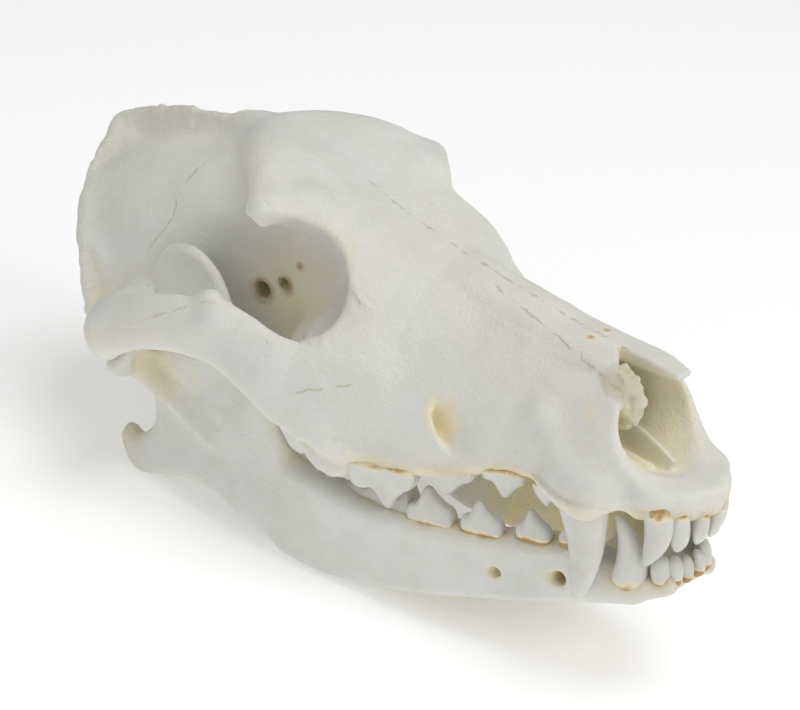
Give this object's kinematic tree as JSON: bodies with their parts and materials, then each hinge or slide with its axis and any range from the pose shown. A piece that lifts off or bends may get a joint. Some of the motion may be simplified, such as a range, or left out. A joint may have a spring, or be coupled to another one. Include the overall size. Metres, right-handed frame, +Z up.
{
  "type": "dog skull",
  "caption": "Life-size dog skull in dried bone, jaw closed, with braincase, face, cheek arches and a lower jaw in two halves, teeth set in them, lying as it rests.",
  "frame": {"origin": "middle of the skull's box, on the surface it lies on", "axes": "+X towards the front teeth, +Y to the animal's left, +Z up"},
  "size_m": [0.2458, 0.1256, 0.1161],
  "materials": {
    "bone": "dried, bleached bone, matte, with teeth of a slight gloss"
  },
  "bodies": {
    "root": {"braincase": "bone", "face": "bone", "cheek_arch_left": "bone", "cheek_arch_right": "bone", "mandible_left": "bone", "mandible_right": "bone"}
  },
  "joints": []
}
